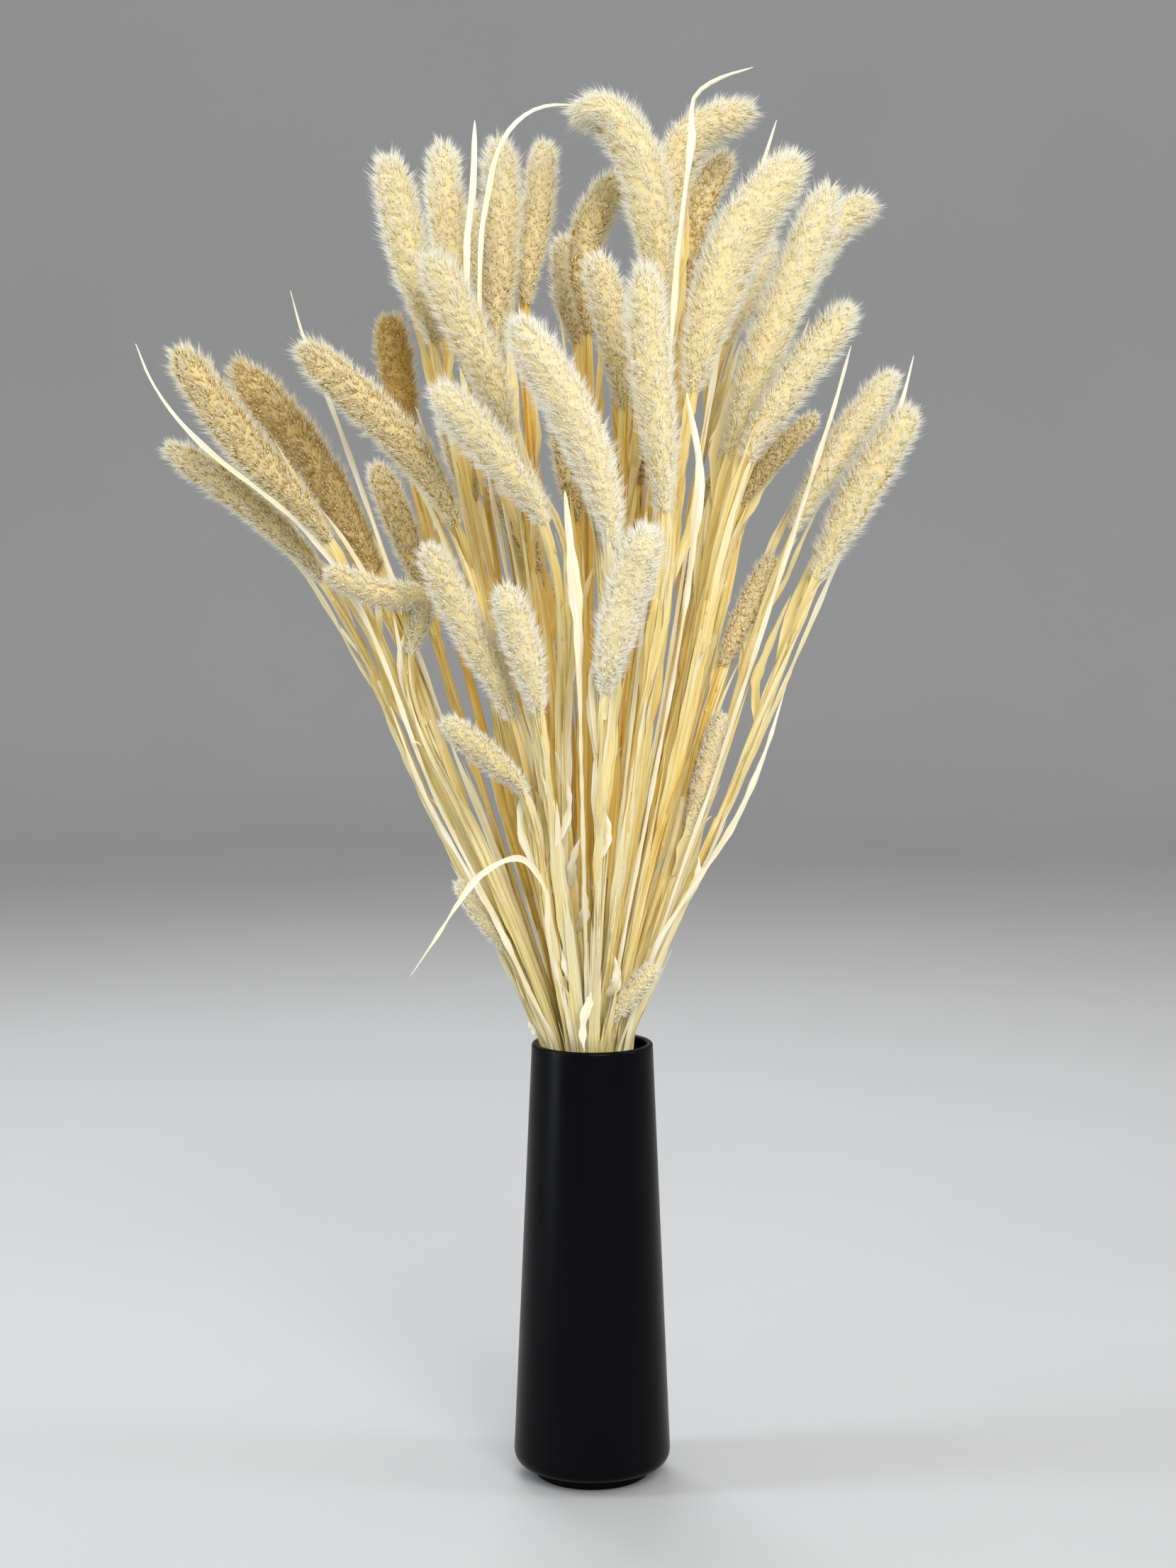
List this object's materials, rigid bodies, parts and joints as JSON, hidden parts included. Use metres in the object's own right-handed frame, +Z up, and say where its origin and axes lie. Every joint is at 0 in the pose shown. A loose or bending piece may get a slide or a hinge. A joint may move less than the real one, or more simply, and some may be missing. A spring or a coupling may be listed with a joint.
{
  "type": "vase of dried foxtail grass",
  "caption": "Tall tapered round vase on a small inset foot, holding a wide fan of dried, bleached foxtail grass with furry heads and long thin leaf blades.",
  "frame": {"origin": "centre of the underside of the vase's foot, on the table", "axes": "+Z up along the vase's axis, -Y towards the viewer of the front view, +X to the viewer's right"},
  "size_m": [0.3819, 0.2552, 0.7085],
  "materials": {
    "vase_glaze": "satin black glaze",
    "foxtail_grass": "matt, furry, bleached cream",
    "dry_leaf": "papery, dry straw"
  },
  "bodies": {
    "root": {"vase": "vase_glaze", "foxtail_01": "foxtail_grass", "foxtail_02": "foxtail_grass", "foxtail_03": "foxtail_grass", "foxtail_04": "foxtail_grass", "foxtail_05": "foxtail_grass", "foxtail_06": "foxtail_grass", "foxtail_07": "foxtail_grass", "foxtail_08": "foxtail_grass", "foxtail_09": "foxtail_grass", "foxtail_10": "foxtail_grass", "foxtail_11": "foxtail_grass", "foxtail_12": "foxtail_grass", "foxtail_13": "foxtail_grass", "foxtail_14": "foxtail_grass", "foxtail_15": "foxtail_grass", "foxtail_16": "foxtail_grass", "foxtail_17": "foxtail_grass", "foxtail_18": "foxtail_grass", "foxtail_19": "foxtail_grass", "foxtail_20": "foxtail_grass", "foxtail_21": "foxtail_grass", "foxtail_22": "foxtail_grass", "foxtail_23": "foxtail_grass", "foxtail_24": "foxtail_grass", "foxtail_25": "foxtail_grass", "foxtail_26": "foxtail_grass", "foxtail_27": "foxtail_grass", "foxtail_28": "foxtail_grass", "foxtail_29": "foxtail_grass", "foxtail_30": "foxtail_grass", "foxtail_31": "foxtail_grass", "foxtail_32": "foxtail_grass", "foxtail_33": "foxtail_grass", "foxtail_34": "foxtail_grass", "foxtail_35": "foxtail_grass", "foxtail_36": "foxtail_grass", "foxtail_37": "foxtail_grass", "foxtail_38": "foxtail_grass", "foxtail_39": "foxtail_grass", "foxtail_40": "foxtail_grass", "foxtail_41": "foxtail_grass", "foxtail_42": "foxtail_grass", "foxtail_43": "foxtail_grass", "foxtail_44": "foxtail_grass", "foxtail_45": "foxtail_grass", "foxtail_46": "foxtail_grass", "leaf_01": "dry_leaf", "leaf_02": "dry_leaf", "leaf_03": "dry_leaf", "leaf_04": "dry_leaf", "leaf_05": "dry_leaf", "leaf_06": "dry_leaf", "leaf_07": "dry_leaf", "leaf_08": "dry_leaf", "leaf_09": "dry_leaf", "leaf_10": "dry_leaf", "leaf_11": "dry_leaf", "leaf_12": "dry_leaf", "leaf_13": "dry_leaf"}
  },
  "joints": []
}
